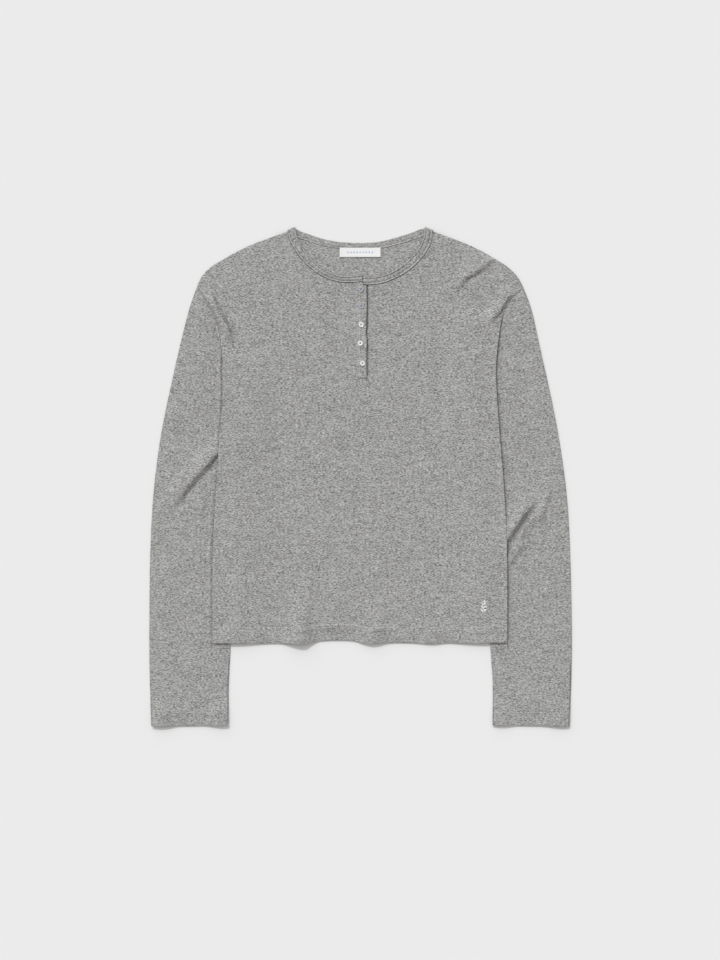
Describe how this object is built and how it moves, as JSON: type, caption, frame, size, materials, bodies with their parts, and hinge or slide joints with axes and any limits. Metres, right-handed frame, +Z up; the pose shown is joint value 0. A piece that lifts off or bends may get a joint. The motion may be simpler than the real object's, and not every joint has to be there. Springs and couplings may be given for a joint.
{
  "type": "henley shirt",
  "caption": "Long-sleeved henley shirt in thin heather-grey jersey, laid flat, with a round neckband, a short buttoned placket, an inside neck label, and turned-up hem and cuffs.",
  "frame": {"origin": "on the surface it lies on, under the middle of the whole outline", "axes": "+Z up from the surface, +Y from hem to neck, +X across to the viewer's right"},
  "size_m": [0.6124, 0.7237, 0.0109],
  "materials": {
    "jersey": "heather-grey single jersey",
    "neckband_jersey": "heather-grey jersey, folded and topstitched",
    "pearl": "pearly white, softly glossy",
    "woven_label": "smooth white woven tape"
  },
  "bodies": {
    "root": {"back_panel": "jersey", "front_panel": "jersey", "sleeve_left": "jersey", "sleeve_right": "jersey", "neckband": "neckband_jersey", "placket_under": "jersey", "placket_upper": "jersey", "button_1": "pearl", "button_2": "pearl", "button_3": "pearl", "button_4": "pearl", "button_5": "pearl", "neck_label": "woven_label"}
  },
  "joints": []
}
